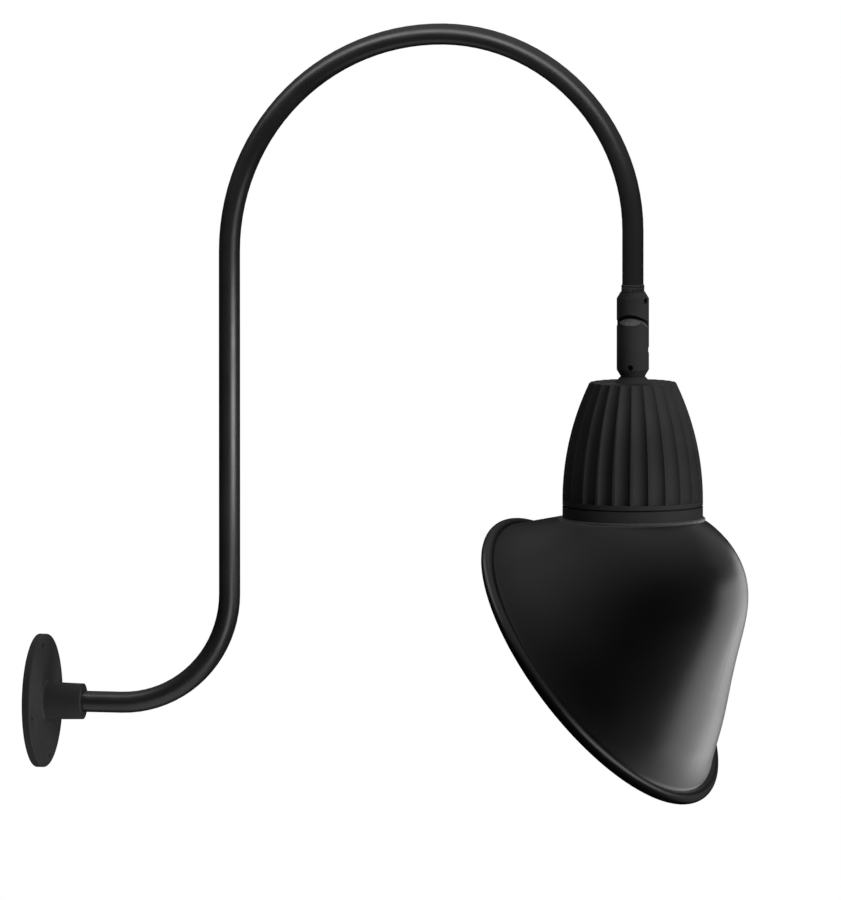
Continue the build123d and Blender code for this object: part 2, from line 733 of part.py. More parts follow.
# Collar: screwed under the heat sink, it holds the lens on a ledge and the shade from below
with BuildPart() as collar_ring:
    with BuildSketch(head_section):
        with BuildLine():
            Polyline(
                (ledge_radius, collar_bottom),
                (sink_base_radius, collar_bottom),
                (sink_base_radius, collar_top),
                (collar_bore_radius, collar_top),
                (collar_bore_radius, ledge_top),
                (ledge_radius, ledge_top),
                close=True,
            )
        make_face()
    revolve(axis=head_axis)
    with BuildSketch(head.offset(collar_bottom)):
        with PolarLocations(clamp_circle, clamp_screw_count, start_angle=45):
            Circle(clamp_screw_diameter / 2 + face_gap)
        with PolarLocations(clamp_circle, clamp_screw_count):
            Circle(clamp_screw_diameter / 2 + seat_clearance)
    extrude(amount=collar_height, mode=Mode.SUBTRACT)
    with BuildSketch(head.offset(collar_bottom)):
        with PolarLocations(clamp_circle, clamp_screw_count, start_angle=45):
            Circle(clamp_head_diameter / 2 + face_gap)
    extrude(amount=clamp_head_height + face_gap, mode=Mode.SUBTRACT)
collar_ring.part.label = "collar_ring"
export_step(collar_ring.part, "parts/collar_ring.step")

# Screws of the collar, sunk into its underside and threaded into the flange of the heat sink
collar_screw_seat = collar_bottom + clamp_head_height + face_gap
with BuildPart() as collar_screws:
    with Locations(head.offset(collar_screw_seat)):
        with PolarLocations(clamp_circle, clamp_screw_count, start_angle=45):
            add(
                make_screw(
                    clamp_head_diameter,
                    clamp_head_height,
                    clamp_screw_diameter,
                    flange_top - collar_screw_seat - face_gap,
                )
            )
collar_screws.part.label = "collar_screws"
export_step(collar_screws.part, "parts/collar_screws.step")

# Lens between its gasket and a snap ring
with BuildPart() as lens_gasket:
    with BuildSketch(head.offset(ledge_top)):
        Circle(lens_radius)
        Circle(ledge_radius + face_gap, mode=Mode.SUBTRACT)
    extrude(amount=lens_gasket_thickness)
lens_gasket.part.label = "lens_gasket"
export_step(lens_gasket.part, "parts/lens_gasket.step")

with BuildPart() as lens:
    with BuildSketch(head.offset(lens_bottom)):
        Circle(lens_radius)
    extrude(amount=lens_thickness)
    chamfer(lens.edges(), lens_thickness / 8)
lens.part.label = "lens"
export_step(lens.part, "parts/lens.step")

with BuildPart() as lens_snap_ring:
    with BuildSketch(head.offset(lens_top)):
        Circle(collar_bore_radius - seat_clearance)
        Circle(ledge_radius, mode=Mode.SUBTRACT)
    extrude(amount=snap_ring_thickness)
lens_snap_ring.part.label = "lens_snap_ring"
export_step(lens_snap_ring.part, "parts/lens_snap_ring.step")

# Shade: its front line and its back line, both drawn from the rim of the mouth up to the neck
tilt = radians(mouth_tilt)
lean = radians(flank_lean)
mouth_centre = Vector(mouth_reach, collar_bottom - mouth_drop)
rim_offset = Vector(sin(tilt), cos(tilt)) * mouth_radius
front_rim = mouth_centre + rim_offset
back_rim = mouth_centre - rim_offset
front_neck = Vector(shade_neck_radius, collar_bottom)
back_neck = Vector(-shade_neck_radius, collar_bottom - shade_neck_drop)
flank_rise = Vector(-sin(lean), cos(lean))
flank_top = back_rim + flank_rise * flank_length


def shade_lines(inset):
    """Front and back lines of the shade, moved into the sheet by an inset."""
    front_inward = (front_neck - front_rim).normalized().rotate(Axis.Z, 90) * inset
    back_inward = flank_rise.rotate(Axis.Z, -90) * inset
    with BuildLine():
        shoulder = TangentArc(flank_top, back_neck, tangent=flank_rise)
    neck_inward = (shoulder.arc_center - back_neck).normalized() * inset
    with BuildLine() as front_line:
        Line(front_rim + front_inward, front_neck + front_inward)
    with BuildLine() as back_line:
        Line(back_rim + back_inward, flank_top + back_inward)
        TangentArc(flank_top + back_inward, back_neck + neck_inward, tangent=flank_rise)
    return front_line.wires()[0], back_line.wires()[0]


def shade_station(lines, share, inset):
    """Plane and half-sizes of the section between the two lines at a share of their length.

    Its sides run straight from the mouth to the neck, so it is round at both and oval at the shoulder.
    """
    front, back = (head_section.from_local_coords(line @ share) for line in lines)
    chord = back - front
    plane = Plane(origin=(front + back) / 2, x_dir=chord, z_dir=chord.cross(head.y_dir))
    straight_side = mouth_radius + (shade_neck_radius - mouth_radius) * share - inset
    return plane, chord.length / 2, min(chord.length / 2, straight_side)


station_shares = [station / shade_stations for station in range(shade_stations + 1)]
outer_lines = shade_lines(0)
inner_lines = shade_lines(sheet)
mouth = shade_station(outer_lines, 0, 0)[0]
bead_plane = Plane(origin=mouth.origin, x_dir=mouth.x_dir, z_dir=head.y_dir)

with BuildPart() as shade:
    for share in station_shares:
        station_plane, half_depth, half_width = shade_station(outer_lines, share, 0)
        with BuildSketch(station_plane):
            Ellipse(half_depth, half_width)
    loft()
    for share in station_shares:
        station_plane, half_depth, half_width = shade_station(inner_lines, share, sheet)
        with BuildSketch(station_plane):
            Ellipse(half_depth, half_width)
    loft(mode=Mode.SUBTRACT)
    with BuildSketch(bead_plane):
        with Locations((mouth_radius, 0)):
            Circle(bead_radius)
    revolve(axis=Axis(mouth.origin, mouth.z_dir))
    with BuildSketch(head.offset(collar_bottom)):
        Circle(shade_neck_radius - sheet)
    extrude(amount=-shade_neck_drop - 2 * sheet, mode=Mode.SUBTRACT)
    with BuildSketch(head_section):
        with Locations((shade_neck_radius - shade_lip_radius / 4, collar_bottom - shade_lip_radius)):
            Circle(shade_lip_radius)
    revolve(axis=head_axis)
    with BuildSketch(head.offset(collar_bottom)):
        Circle(shade_neck_radius)
        Circle(shade_neck_radius - shade_flange_width, mode=Mode.SUBTRACT)
        with PolarLocations(clamp_circle, clamp_screw_count):
            Circle(clamp_screw_diameter / 2 + face_gap, mode=Mode.SUBTRACT)
    extrude(amount=-sheet)
shade.part.label = "shade"
export_step(shade.part, "parts/shade.step")

# Ring and screws that clamp the neck of the shade up against the collar
with BuildPart() as shade_clamp_ring:
    with BuildSketch(head.offset(clamp_ring_bottom)):
        Circle(clamp_ring_outer)
        Circle(clamp_ring_outer - clamp_ring_width, mode=Mode.SUBTRACT)
        with PolarLocations(clamp_circle, clamp_screw_count):
            Circle(clamp_screw_diameter / 2 + face_gap, mode=Mode.SUBTRACT)
    extrude(amount=clamp_ring_thickness)
shade_clamp_ring.part.label = "shade_clamp_ring"
export_step(shade_clamp_ring.part, "parts/shade_clamp_ring.step")

with BuildPart() as shade_screws:
    with Locations(head.offset(clamp_ring_bottom)):
        with PolarLocations(clamp_circle, clamp_screw_count):
            add(
                make_screw(
                    clamp_head_diameter,
                    clamp_head_height,
                    clamp_screw_diameter,
                    collar_top - clamp_ring_bottom - face_gap,
                )
            )
shade_screws.part.label = "shade_screws"
export_step(shade_screws.part, "parts/shade_screws.step")
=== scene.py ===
from math import cos, radians, sin, tau

import bmesh
import bpy
from mathutils import Matrix, Vector


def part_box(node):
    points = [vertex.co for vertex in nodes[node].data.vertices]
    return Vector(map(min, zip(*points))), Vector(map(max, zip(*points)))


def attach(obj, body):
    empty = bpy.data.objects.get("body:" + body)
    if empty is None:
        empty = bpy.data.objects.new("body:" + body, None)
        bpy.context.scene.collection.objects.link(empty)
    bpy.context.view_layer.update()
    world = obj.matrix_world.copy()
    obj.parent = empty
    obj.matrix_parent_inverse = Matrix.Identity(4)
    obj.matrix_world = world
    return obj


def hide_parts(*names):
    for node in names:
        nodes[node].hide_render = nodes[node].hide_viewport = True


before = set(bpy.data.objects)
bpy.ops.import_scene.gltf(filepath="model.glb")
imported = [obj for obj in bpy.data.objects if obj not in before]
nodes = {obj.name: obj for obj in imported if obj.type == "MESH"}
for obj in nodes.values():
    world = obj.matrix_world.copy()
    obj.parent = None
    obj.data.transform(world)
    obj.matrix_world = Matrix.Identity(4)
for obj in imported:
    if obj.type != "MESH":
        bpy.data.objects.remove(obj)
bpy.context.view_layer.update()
scene = bpy.context.scene

# Where the lamp head hangs, in metres: its upright axis, its heading and the mouth of the shade
skyward = Vector((0, 0, 1))
headTurn = radians(10)
head = {
    "axis": Vector((0.6135, 0.0, 0.0)),
    "heading": Vector((-cos(headTurn), sin(headTurn), 0.0)),
    "mouthCentre": Vector((0.57765, 0.00632, 0.0516)),
    "mouthTilt": radians(36.6),
    "hollowCentre": Vector((0.605, 0.0015, 0.105)),
}
mouthNormal = head["heading"] * cos(head["mouthTilt"]) - skyward * sin(head["mouthTilt"])


# Small helpers for node trees
def newFinish(name):
    material = bpy.data.materials.new(name)
    material.use_nodes = True
    tree = material.node_tree
    tree.nodes.clear()
    shader = tree.nodes.new("ShaderNodeBsdfPrincipled")
    output = tree.nodes.new("ShaderNodeOutputMaterial")
    tree.links.new(shader.outputs["BSDF"], output.inputs["Surface"])
    return material, tree, shader


def feed(tree, socket, value):
    if isinstance(value, bpy.types.NodeSocket):
        tree.links.new(value, socket)
    elif socket.type == "RGBA":
        socket.default_value = (*value, 1.0)
    else:
        socket.default_value = value


def addNode(tree, kind, inputs=None, **settings):
    node = tree.nodes.new(kind)
    for key, value in settings.items():
        setattr(node, key, value)
    for key, value in (inputs or {}).items():
        feed(tree, node.inputs[key], value)
    return node


def objectPlace(tree):
    return addNode(tree, "ShaderNodeTexCoord").outputs["Object"]


def objectNormal(tree):
    return addNode(tree, "ShaderNodeTexCoord").outputs["Normal"]


# A texture is given as its scale and its detail
def speckle(tree, place, texture):
    scale, detail = texture
    sockets = {"Vector": place, "Scale": scale, "Detail": detail}
    return addNode(tree, "ShaderNodeTexNoise", sockets).outputs["Fac"]


# Noise lies mostly between 0.3 and 0.7, so that is the range it is mapped from
def remap(tree, value, low, high, fromLow=0.3, fromHigh=0.7):
    sockets = {"Value": value, "From Min": fromLow, "From Max": fromHigh, "To Min": low, "To Max": high}
    return addNode(tree, "ShaderNodeMapRange", sockets).outputs["Result"]


def sums(tree, operation, first, second=0.0):
    return addNode(tree, "ShaderNodeMath", {0: first, 1: second}, operation=operation).outputs["Value"]


# A Mix node's sockets for the first value, the second value and the result
mixSockets = {"RGBA": (6, 7, 2), "FLOAT": (2, 3, 0)}


def blend(tree, kind, share, first, second):
    firstSocket, secondSocket, result = mixSockets[kind]
    inputs = {0: share, firstSocket: first, secondSocket: second}
    return addNode(tree, "ShaderNodeMix", inputs, data_type=kind).outputs[result]


def blendColour(tree, share, first, second):
    return blend(tree, "RGBA", share, first, second)


def blendNumber(tree, share, first, second):
    return blend(tree, "FLOAT", share, first, second)


def bumpUp(tree, height, depth, under=None):
    sockets = {"Height": height, "Distance": depth, "Strength": 1.0}
    if under is not None:
        sockets["Normal"] = under
    return addNode(tree, "ShaderNodeBump", sockets).outputs["Normal"]


def vectorSums(tree, operation, inputs, output="Vector"):
    return addNode(tree, "ShaderNodeVectorMath", inputs, operation=operation).outputs[output]


def offsetFrom(tree, place, point):
    return vectorSums(tree, "SUBTRACT", {0: place, 1: point})


def along(tree, vector, direction):
    return vectorSums(tree, "DOT_PRODUCT", {0: vector, 1: direction}, "Value")


def fromAxis(tree, place, axisPoint):
    flat = vectorSums(tree, "MULTIPLY", {0: offsetFrom(tree, place, axisPoint), 1: (1, 1, 0)})
    return vectorSums(tree, "LENGTH", {0: flat}, "Value")


def feedGloss(tree, shader, place, look):
    gloss = remap(tree, speckle(tree, place, look["sheen"]), *look["gloss"])
    feed(tree, shader.inputs["Roughness"], gloss)


# Powder coats: black paint baked on pipe and castings, with a fine grain and a little dust on top
powder = {
    "mottle": (14.0, 4.0), "sheen": (38.0, 3.0), "dust": (0.06, 0.058, 0.055), "dustSlope": (0.3, 1.0),
    "dustPatches": (55.0, 5.0), "dustPatchy": (0.2, 1.0), "dustRough": 0.6,
}
armCoat = {
    **powder, "name": "armCoat", "paint": (0.009, 0.009, 0.0095), "paintWorn": (0.014, 0.014, 0.0145),
    "dustShare": 0.06, "gloss": (0.30, 0.38), "grain": (900.0, 2.0), "grainDepth": 0.000015,
    "peel": (260.0, 1.0), "peelDepth": 0.000012, "specular": 0.5,
}
plateCoat = {
    **powder, "name": "plateCoat", "paint": (0.029, 0.029, 0.030), "paintWorn": (0.040, 0.040, 0.041),
    "dustShare": 0.10, "gloss": (0.48, 0.60), "grain": (1300.0, 2.0), "grainDepth": 0.00006,
    "peel": (320.0, 1.0), "peelDepth": 0.00004, "specular": 0.4,
}
castCoat = {
    **powder, "name": "castCoat", "paint": (0.027, 0.027, 0.028), "paintWorn": (0.040, 0.040, 0.041),
    "dustShare": 0.02, "gloss": (0.55, 0.68), "grain": (1500.0, 2.0), "grainDepth": 0.00009,
    "peel": (420.0, 1.0), "peelDepth": 0.00006, "specular": 0.22,
}
paintedBevelHighlightTop = 0.012  # how far down from the knuckle's top the bevel reaches
# Knuckle: the cast coat with a painted highlight along the bevel at the top of its lap
knuckleCoat = {
    **castCoat, "name": "knuckleCoat", "paintedBevelHighlight": (0.15, 0.15, 0.152), "paintedBevelHighlightGloss": 0.38,
    "paintedBevelHighlightRise": (0.25, 0.55), "paintedBevelHighlightPatches": (420.0, 4.0), "paintedBevelHighlightPatchy": (0.45, 1.0),
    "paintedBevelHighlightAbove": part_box("swivel_bottom")[1].z - paintedBevelHighlightTop,
}


def powderCoat(look):
    material, tree, shader = newFinish(look["name"])
    place = objectPlace(tree)
    mottle = remap(tree, speckle(tree, place, look["mottle"]), 0.0, 1.0)
    paint = blendColour(tree, mottle, look["paint"], look["paintWorn"])
    upward = along(tree, objectNormal(tree), skyward)
    lying = remap(tree, upward, 0.0, look["dustShare"], *look["dustSlope"])
    dusty = remap(tree, speckle(tree, place, look["dustPatches"]), *look["dustPatchy"])
    settled = sums(tree, "MULTIPLY", lying, dusty)
    colour = blendColour(tree, settled, paint, look["dust"])
    smooth = remap(tree, speckle(tree, place, look["sheen"]), *look["gloss"])
    rough = sums(tree, "ADD", smooth, sums(tree, "MULTIPLY", settled, look["dustRough"]))
    if "paintedBevelHighlight" in look:  # painted highlight: the bevel that turns in the lap is painted lighter on its upward faces, in patches, and glossier
        onTop = sums(tree, "GREATER_THAN", along(tree, place, skyward), look["paintedBevelHighlightAbove"])
        patchy = remap(tree, speckle(tree, place, look["paintedBevelHighlightPatches"]), *look["paintedBevelHighlightPatchy"])
        rising = remap(tree, upward, 0.0, 1.0, *look["paintedBevelHighlightRise"])
        paintedHighlight = sums(tree, "MULTIPLY", sums(tree, "MULTIPLY", rising, onTop), patchy)
        colour = blendColour(tree, paintedHighlight, colour, look["paintedBevelHighlight"])
        rough = blendNumber(tree, paintedHighlight, rough, look["paintedBevelHighlightGloss"])
    feed(tree, shader.inputs["Base Color"], colour)
    feed(tree, shader.inputs["Roughness"], rough)
    grain = bumpUp(tree, speckle(tree, place, look["grain"]), look["grainDepth"])
    peel = bumpUp(tree, speckle(tree, place, look["peel"]), look["peelDepth"], grain)
    feed(tree, shader.inputs["Normal"], peel)
    shader.inputs["Specular IOR Level"].default_value = look["specular"]
    return material


# Shade: gloss black outside and over the rolled rim, white inside, on spun sheet with faint rings.
# Its neck lip is painted lighter grey in patches as a painted highlight, and the sheet is duller where it
# curls into the roll
lipDrop = 0.0034  # how far under the collar's foot the lip carries its painted highlight
shadeCoat = {
    "name": "shadeCoat", "paint": (0.002, 0.002, 0.0022), "paintWorn": (0.0035, 0.0035, 0.0037),
    "mottle": (11.0, 4.0), "inside": (0.80, 0.79, 0.76), "insideShaded": (0.74, 0.73, 0.70),
    "rimDepth": -0.009, "sheen": (26.0, 3.0), "gloss": (0.31, 0.36), "insideGloss": (0.42, 0.52),
    "peel": (170.0, 1.0), "peelDepth": 0.000012, "ringPitch": 0.006, "ringDepth": 0.000004,
    "specular": 0.5, "curl": (-0.034, -0.010), "curlEnd": -0.0077, "curlGloss": 0.52,
    "lip": (0.060, 0.060, 0.062), "lipGloss": 0.55, "lipPatches": (240.0, 4.0), "lipPatchy": (0.75, 1.0),
    "lipLevel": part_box("collar_ring")[0].z - lipDrop, "lipFade": 0.0006, "lipReach": 0.0745,
}


def shadePaint(look):
    material, tree, shader = newFinish(look["name"])
    place = objectPlace(tree)
    outward = along(tree, offsetFrom(tree, place, head["hollowCentre"]), objectNormal(tree))
    facesIn = sums(tree, "LESS_THAN", outward, 0.0)
    pastMouth = along(tree, offsetFrom(tree, place, head["mouthCentre"]), mouthNormal)
    behindRim = sums(tree, "LESS_THAN", pastMouth, look["rimDepth"])
    inside = sums(tree, "MULTIPLY", facesIn, behindRim)
    mottle = remap(tree, speckle(tree, place, look["mottle"]), 0.0, 1.0)
    black = blendColour(tree, mottle, look["paint"], look["paintWorn"])
    white = blendColour(tree, mottle, look["inside"], look["insideShaded"])
    painted = blendColour(tree, inside, black, white)
    height = along(tree, place, skyward)
    rising = remap(tree, height, 0.0, 1.0, look["lipLevel"] - look["lipFade"], look["lipLevel"])
    atNeck = sums(tree, "LESS_THAN", fromAxis(tree, place, head["axis"]), look["lipReach"])
    lip = sums(tree, "MULTIPLY", rising, atNeck)
    # painted highlight on the neck lip: a lighter grey band just under the collar, broken into patches
    patchy = remap(tree, speckle(tree, place, look["lipPatches"]), *look["lipPatchy"])
    lipPaintedHighlight = sums(tree, "MULTIPLY", lip, patchy)
    feed(tree, shader.inputs["Base Color"], blendColour(tree, lipPaintedHighlight, painted, look["lip"]))
    sheen = speckle(tree, place, look["sheen"])
    outerGloss = remap(tree, sheen, *look["gloss"])
    innerGloss = remap(tree, sheen, *look["insideGloss"])
    rough = blendNumber(tree, inside, outerGloss, innerGloss)
    beforeRoll = sums(tree, "LESS_THAN", pastMouth, look["curlEnd"])
    curling = sums(tree, "MULTIPLY", remap(tree, pastMouth, 0.0, 1.0, *look["curl"]), beforeRoll)
    rough = blendNumber(tree, curling, rough, look["curlGloss"])
    feed(tree, shader.inputs["Roughness"], blendNumber(tree, lip, rough, look["lipGloss"]))
    rings = sums(tree, "SINE", sums(tree, "MULTIPLY", pastMouth, tau / look["ringPitch"]))
    spun = bumpUp(tree, rings, look["ringDepth"])
    peel = bumpUp(tree, speckle(tree, place, look["peel"]), look["peelDepth"], spun)
    feed(tree, shader.inputs["Normal"], peel)
    shader.inputs["Specular IOR Level"].default_value = look["specular"]
    return material


# Bare metal: fine turned rings round the head's axis
turned = {"tarnish": (60.0, 4.0), "sheen": (140.0, 3.0), "wander": (90.0, 2.0), "wanderTurn": 4.0}
turnedAluminium = {
    **turned, "name": "turnedAluminium", "metal": (0.60, 0.60, 0.62), "metalDull": (0.50, 0.50, 0.52),
    "gloss": (0.26, 0.38), "pitch": 0.0011, "depth": 0.00002,
}
springSteel = {
    **turned, "name": "springSteel", "metal": (0.42, 0.42, 0.43), "metalDull": (0.33, 0.33, 0.35),
    "gloss": (0.22, 0.34), "pitch": 0.0007, "depth": 0.00001,
}
zincScrew = {
    **turned, "name": "zincScrew", "metal": (0.56, 0.56, 0.55), "metalDull": (0.42, 0.42, 0.40),
    "gloss": (0.25, 0.42), "pitch": 0.0004, "depth": 0.00001,
}


def turnedMetal(look):
    material, tree, shader = newFinish(look["name"])
    place = objectPlace(tree)
    dull = remap(tree, speckle(tree, place, look["tarnish"]), 0.0, 1.0)
    feed(tree, shader.inputs["Base Color"], blendColour(tree, dull, look["metal"], look["metalDull"]))
    feedGloss(tree, shader, place, look)
    turn = sums(tree, "MULTIPLY", fromAxis(tree, place, head["axis"]), tau / look["pitch"])
    wander = sums(tree, "MULTIPLY", speckle(tree, place, look["wander"]), look["wanderTurn"])
    rings = sums(tree, "SINE", sums(tree, "ADD", turn, wander))
    feed(tree, shader.inputs["Normal"], bumpUp(tree, rings, look["depth"]))
    shader.inputs["Metallic"].default_value = 1.0
    return material


# Painted and oxide-black screws, with a fine scatter of wear
screwWear = {
    "wear": (700.0, 5.0), "wearShare": (0.0, 0.6), "wearFrom": (0.45, 0.75), "sheen": (420.0, 3.0),
}
oxideScrew = {
    **screwWear, "name": "oxideScrew", "skin": (0.004, 0.004, 0.004), "worn": (0.012, 0.012, 0.013),
    "gloss": (0.5, 0.65), "grain": (2200.0, 2.0), "grainDepth": 0.00003,
}
earthScrew = {
    **screwWear, "name": "earthScrew", "skin": (0.02, 0.16, 0.045), "worn": (0.06, 0.26, 0.10),
    "gloss": (0.30, 0.45), "grain": (1800.0, 2.0), "grainDepth": 0.00003,
}


def screwSkin(look):
    material, tree, shader = newFinish(look["name"])
    place = objectPlace(tree)
    worn = remap(tree, speckle(tree, place, look["wear"]), *look["wearShare"], *look["wearFrom"])
    feed(tree, shader.inputs["Base Color"], blendColour(tree, worn, look["skin"], look["worn"]))
    feedGloss(tree, shader, place, look)
    grain = bumpUp(tree, speckle(tree, place, look["grain"]), look["grainDepth"])
    feed(tree, shader.inputs["Normal"], grain)
    return material


# Soft and moulded parts: foam and rubber seals, the pad, the nylon washer and the driver's case
moulded = {"mottle": (75.0, 4.0), "sheen": (200.0, 2.0)}
sealRubber = {
    **moulded, "name": "sealRubber", "tone": (0.012, 0.012, 0.012), "toneLight": (0.03, 0.03, 0.03),
    "gloss": (0.75, 0.90), "cellScale": 1500.0, "cellDepth": 0.00015,
}
thermalPad = {
    **moulded, "name": "thermalPad", "tone": (0.30, 0.32, 0.34), "toneLight": (0.38, 0.40, 0.42),
    "gloss": (0.70, 0.85), "cellScale": 1100.0, "cellDepth": 0.00006,
}
nylonWasher = {
    **moulded, "name": "nylonWasher", "tone": (0.012, 0.012, 0.012), "toneLight": (0.024, 0.024, 0.025),
    "gloss": (0.45, 0.58), "cellScale": 900.0, "cellDepth": 0.00003,
}
driverCase = {
    **moulded, "name": "driverCase", "tone": (0.66, 0.66, 0.64), "toneLight": (0.74, 0.74, 0.72),
    "gloss": (0.42, 0.55), "cellScale": 800.0, "cellDepth": 0.00004,
}

# Light chips, moulded too: a pale ceramic case round a yellow phosphor window
chipCase = {
    **moulded, "name": "chipCase", "tone": (0.70, 0.70, 0.68), "toneLight": (0.78, 0.78, 0.76),
    "gloss": (0.45, 0.60), "cellScale": 2600.0, "cellDepth": 0.00002,
}
chipPhosphor = {
    **moulded, "name": "chipPhosphor", "tone": (0.72, 0.50, 0.06), "toneLight": (0.80, 0.60, 0.10),
    "gloss": (0.22, 0.34), "cellScale": 3200.0, "cellDepth": 0.00003,
}


def mouldedFinish(look):
    material, tree, shader = newFinish(look["name"])
    place = objectPlace(tree)
    tone = remap(tree, speckle(tree, place, look["mottle"]), 0.0, 1.0)
    feed(tree, shader.inputs["Base Color"], blendColour(tree, tone, look["tone"], look["toneLight"]))
    feedGloss(tree, shader, place, look)
    cells = addNode(tree, "ShaderNodeTexVoronoi", {"Vector": place, "Scale": look["cellScale"]})
    feed(tree, shader.inputs["Normal"], bumpUp(tree, cells.outputs["Distance"], look["cellDepth"]))
    return material


# Lamp board: white solder mask with copper lands that show faintly as rings under it
boardFace = {
    "name": "boardFace", "mask": (0.72, 0.72, 0.70), "maskShade": (0.66, 0.66, 0.64),
    "land": (0.60, 0.60, 0.55), "landRings": (0.009, 0.022), "landHalf": 0.0036, "landFlat": 0.94,
    "landDepth": 0.00004, "mottle": (120.0, 4.0), "sheen": (260.0, 3.0), "gloss": (0.30, 0.42),
    "grain": (1400.0, 2.0), "grainDepth": 0.00002,
}


def boardMask(look):
    material, tree, shader = newFinish(look["name"])
    place = objectPlace(tree)
    spread = fromAxis(tree, place, head["axis"])
    lands = None
    for ring in look["landRings"]:
        away = sums(tree, "ABSOLUTE", sums(tree, "SUBTRACT", spread, ring))
        band = remap(tree, away, 1.0, 0.0, look["landHalf"] * look["landFlat"], look["landHalf"])
        lands = band if lands is None else sums(tree, "MAXIMUM", lands, band)
    tone = remap(tree, speckle(tree, place, look["mottle"]), 0.0, 1.0)
    mask = blendColour(tree, tone, look["mask"], look["maskShade"])
    feed(tree, shader.inputs["Base Color"], blendColour(tree, lands, mask, look["land"]))
    feedGloss(tree, shader, place, look)
    under = bumpUp(tree, lands, look["landDepth"])
    grain = bumpUp(tree, speckle(tree, place, look["grain"]), look["grainDepth"], under)
    feed(tree, shader.inputs["Normal"], grain)
    return material


# Clear lens: hardly tinted glass with a trace of unevenness
lensGlass = {
    "name": "lensGlass", "tint": (0.90, 0.94, 0.93), "tintDeep": (0.86, 0.92, 0.90), "sheen": (80.0, 4.0),
    "gloss": (0.01, 0.05), "wave": (22.0, 1.0), "waveDepth": 0.00004, "ior": 1.5,
}


def clearGlass(look):
    material, tree, shader = newFinish(look["name"])
    place = objectPlace(tree)
    wave = speckle(tree, place, look["wave"])
    tint = blendColour(tree, remap(tree, wave, 0.0, 1.0), look["tint"], look["tintDeep"])
    feed(tree, shader.inputs["Base Color"], tint)
    feedGloss(tree, shader, place, look)
    feed(tree, shader.inputs["Normal"], bumpUp(tree, wave, look["waveDepth"]))
    shader.inputs["Transmission Weight"].default_value = 1.0
    shader.inputs["IOR"].default_value = look["ior"]
    return material


finishes = {
    "arm": powderCoat(armCoat),
    "plate": powderCoat(plateCoat),
    "cast": powderCoat(castCoat),
    "knuckle": powderCoat(knuckleCoat),
    "shade": shadePaint(shadeCoat),
    "aluminium": turnedMetal(turnedAluminium),
    "spring": turnedMetal(springSteel),
    "zinc": turnedMetal(zincScrew),
    # oxide black for the set screws, and painted shade on the floors of the lock ring's pockets
    "oxideAndPocketShade": screwSkin(oxideScrew),
    "earth": screwSkin(earthScrew),
    "seal": mouldedFinish(sealRubber),
    "pad": mouldedFinish(thermalPad),
    "nylon": mouldedFinish(nylonWasher),
    "driver": mouldedFinish(driverCase),
    "board": boardMask(boardFace),
    "chipCase": mouldedFinish(chipCase),
    "chipPhosphor": mouldedFinish(chipPhosphor),
    "glass": clearGlass(lensGlass),
}
wears = {
    "arm": ("gooseneck_arm", "lock_ring", "neck_nipple"),
    "plate": ("wall_plate",),
    "cast": ("swivel_top", "heat_sink", "collar_ring"),
    "knuckle": ("swivel_bottom",),
    "shade": ("shade",),
    "aluminium": ("carrier_plate", "shade_clamp_ring"),
    "spring": ("lens_snap_ring",),
    "zinc": ("carrier_screws", "driver_screws", "board_screws", "shade_screws"),
    "oxideAndPocketShade": ("hub_set_screws", "arm_set_screw", "neck_set_screw", "pivot_screw", "collar_screws"),
    "earth": ("ground_screw",),
    "seal": ("plate_gasket", "sink_gasket", "lens_gasket"),
    "pad": ("thermal_pad",),
    "nylon": ("pivot_washer",),
    "driver": ("driver",),
    "board": ("lamp_board",),
    "chipPhosphor": ("light_chips",),
    "glass": ("lens",),
}
for finish, names in wears.items():
    for name in names:
        slots = nodes[name].data.materials
        slots.clear()
        slots.append(finishes[finish])
print("finishes on", sum(len(names) for names in wears.values()), "nodes")


# Meshes from shapes: any object, and a piece that belongs to the light
def addObject(shape, name, coats):
    mesh = bpy.data.meshes.new(name)
    shape.to_mesh(mesh)
    shape.free()
    for coat in coats:
        mesh.materials.append(coat)
    thing = bpy.data.objects.new(name, mesh)
    scene.collection.objects.link(thing)
    return thing


def keepPiece(shape, name, coats, body, stands=None):
    bmesh.ops.recalc_face_normals(shape, faces=shape.faces)
    piece = addObject(shape, name, [finishes[coat] for coat in coats])
    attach(piece, body)
    if stands:
        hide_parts(stands)


# Lock ring: a turned ring with two rows of small pockets, whose floors are painted near-black as painted
# shade
lockRing = {
    "innerRadius": 0.0107, "bandRadius": 0.01155, "grooveRadius": 0.0112, "grooveHalf": 0.0003,
    "edge": 0.0005, "pockets": 34, "land": 0.00024, "taper": 0.00012, "pocketDepth": 0.0005,
    "weld": 1e-7, "uprightSlack": 0.1, "bandShare": 0.99,
}


